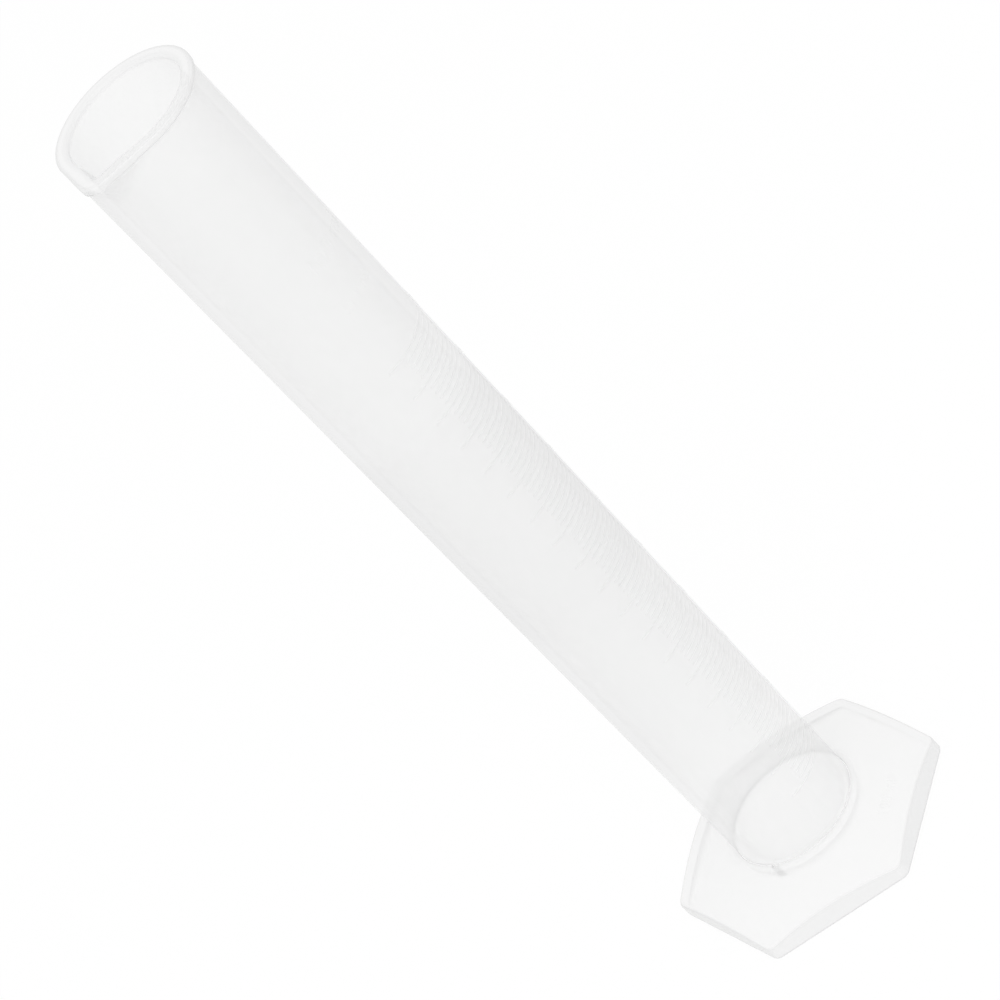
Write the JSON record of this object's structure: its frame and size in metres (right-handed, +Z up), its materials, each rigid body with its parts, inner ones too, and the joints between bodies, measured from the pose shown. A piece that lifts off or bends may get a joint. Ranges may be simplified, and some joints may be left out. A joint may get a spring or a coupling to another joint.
{
  "type": "rain gauge measuring cylinder",
  "caption": "Tall translucent measuring cylinder of a manual rain gauge: rolled rim, pouring spout and raised millilitre scale, standing in a hollow hexagonal foot that it lifts out of.",
  "frame": {"origin": "centre of the foot's underside, on the tube's axis", "axes": "+Z up the tube to its rim; -X under the pouring spout and through a corner of the foot; -Y towards the scale"},
  "size_m": [0.0694, 0.0608, 0.25],
  "materials": {
    "foot_plastic": "translucent natural polypropylene, satin as moulded",
    "tube_plastic": "translucent natural polypropylene, satin as moulded"
  },
  "bodies": {
    "foot": {"foot": "foot_plastic"},
    "tube": {"tube": "tube_plastic"}
  },
  "joints": [
    {"name": "tube_lift", "type": "slide", "parent": "foot", "child": "tube", "axis": [0, 0, 1], "range_m": [0, 0.03]}
  ]
}
